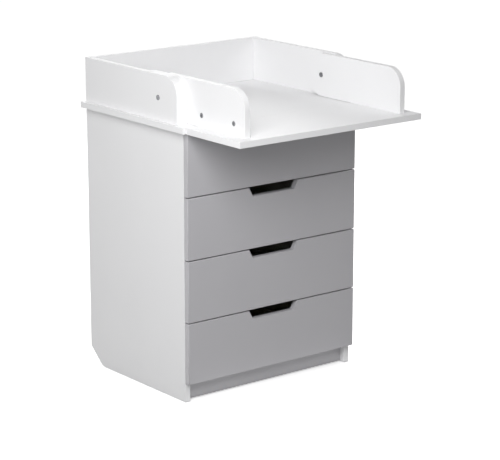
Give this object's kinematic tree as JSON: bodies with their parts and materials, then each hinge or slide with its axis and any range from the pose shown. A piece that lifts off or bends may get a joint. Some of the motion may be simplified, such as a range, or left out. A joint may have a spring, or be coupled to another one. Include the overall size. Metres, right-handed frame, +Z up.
{
  "type": "changing dresser",
  "caption": "Changing dresser: a white cabinet with grey grip-hole drawers on telescopic slides, railed changing top, and a railed front leaf that folds back on hinge bolts.",
  "frame": {"origin": "on the floor, under the middle of the cabinet's width and of the overall depth; the leaf's hinge line is right above it", "axes": "+Z up, -Y to the front where the drawers and the leaf point, +X to the right when facing the front"},
  "size_m": [0.669, 0.758, 0.946],
  "materials": {
    "white_board": "white melamine-faced chipboard, satin",
    "grey_front": "cool grey lacquered fibreboard, satin",
    "drawer_board": "white foil-faced chipboard, satin",
    "back_hardboard": "white lacquered hardboard, matt",
    "dark_fitting": "dark grey, satin",
    "zinc_steel": "bright zinc",
    "slide_steel": "zinc-plated rolled sheet",
    "beech": "plain beech"
  },
  "bodies": {
    "cabinet": {"side_panel_left": "white_board", "side_panel_right": "white_board", "cabinet_top": "white_board", "bottom_panel": "white_board", "changing_board": "white_board", "rail_left": "white_board", "rail_right": "white_board", "rail_back": "white_board", "packing_board": "white_board", "plinth_board": "grey_front", "back_panel": "back_hardboard", "cabinet_cams": "zinc_steel", "cabinet_cam_pins": "zinc_steel", "rail_screws": "zinc_steel", "wood_screws": "zinc_steel", "hinge_bolts": "dark_fitting", "hinge_sleeves": "dark_fitting", "dowels": "beech", "slide_outer_left": "slide_steel", "slide_outer_right": "slide_steel"},
    "leaf": {"leaf_board": "white_board", "leaf_rail_left": "white_board", "leaf_rail_right": "white_board", "leaf_cam_pins": "zinc_steel", "leaf_cams": "dark_fitting"},
    "drawer_1": {"drawer_1_front": "grey_front", "drawer_1_side_left": "drawer_board", "drawer_1_side_right": "drawer_board", "drawer_1_back": "drawer_board", "drawer_1_bottom": "back_hardboard", "drawer_1_fixings": "zinc_steel", "slide_inner_1": "slide_steel"},
    "slide_middle_1": {"slide_middle_1": "slide_steel"},
    "drawer_2": {"drawer_2_front": "grey_front", "drawer_2_side_left": "drawer_board", "drawer_2_side_right": "drawer_board", "drawer_2_back": "drawer_board", "drawer_2_bottom": "back_hardboard", "drawer_2_fixings": "zinc_steel", "slide_inner_2": "slide_steel"},
    "slide_middle_2": {"slide_middle_2": "slide_steel"},
    "drawer_3": {"drawer_3_front": "grey_front", "drawer_3_side_left": "drawer_board", "drawer_3_side_right": "drawer_board", "drawer_3_back": "drawer_board", "drawer_3_bottom": "back_hardboard", "drawer_3_fixings": "zinc_steel", "slide_inner_3": "slide_steel"},
    "slide_middle_3": {"slide_middle_3": "slide_steel"},
    "drawer_4": {"drawer_4_front": "grey_front", "drawer_4_side_left": "drawer_board", "drawer_4_side_right": "drawer_board", "drawer_4_back": "drawer_board", "drawer_4_bottom": "back_hardboard", "drawer_4_fixings": "zinc_steel", "slide_inner_4": "slide_steel"},
    "slide_middle_4": {"slide_middle_4": "slide_steel"}
  },
  "joints": [
    {"name": "leaf_fold", "type": "hinge", "parent": "cabinet", "child": "leaf", "pos_m": [0, 0, 0.879], "axis": [-1, 0, 0], "range_deg": [0, 179]},
    {"name": "drawer_1_slide", "type": "slide", "parent": "cabinet", "child": "drawer_1", "axis": [0, -1, 0], "range_m": [0, 0.42]},
    {"name": "middle_1_slide", "type": "slide", "parent": "cabinet", "child": "slide_middle_1", "axis": [0, -1, 0], "range_m": [0, 0.21]},
    {"name": "drawer_2_slide", "type": "slide", "parent": "cabinet", "child": "drawer_2", "axis": [0, -1, 0], "range_m": [0, 0.42]},
    {"name": "middle_2_slide", "type": "slide", "parent": "cabinet", "child": "slide_middle_2", "axis": [0, -1, 0], "range_m": [0, 0.21]},
    {"name": "drawer_3_slide", "type": "slide", "parent": "cabinet", "child": "drawer_3", "axis": [0, -1, 0], "range_m": [0, 0.42]},
    {"name": "middle_3_slide", "type": "slide", "parent": "cabinet", "child": "slide_middle_3", "axis": [0, -1, 0], "range_m": [0, 0.21]},
    {"name": "drawer_4_slide", "type": "slide", "parent": "cabinet", "child": "drawer_4", "axis": [0, -1, 0], "range_m": [0, 0.42]},
    {"name": "middle_4_slide", "type": "slide", "parent": "cabinet", "child": "slide_middle_4", "axis": [0, -1, 0], "range_m": [0, 0.21]}
  ],
  "couplings": [
    {"joint": "middle_1_slide", "follows": "drawer_1_slide", "ratio": 0.5},
    {"joint": "middle_2_slide", "follows": "drawer_2_slide", "ratio": 0.5},
    {"joint": "middle_3_slide", "follows": "drawer_3_slide", "ratio": 0.5},
    {"joint": "middle_4_slide", "follows": "drawer_4_slide", "ratio": 0.5}
  ]
}
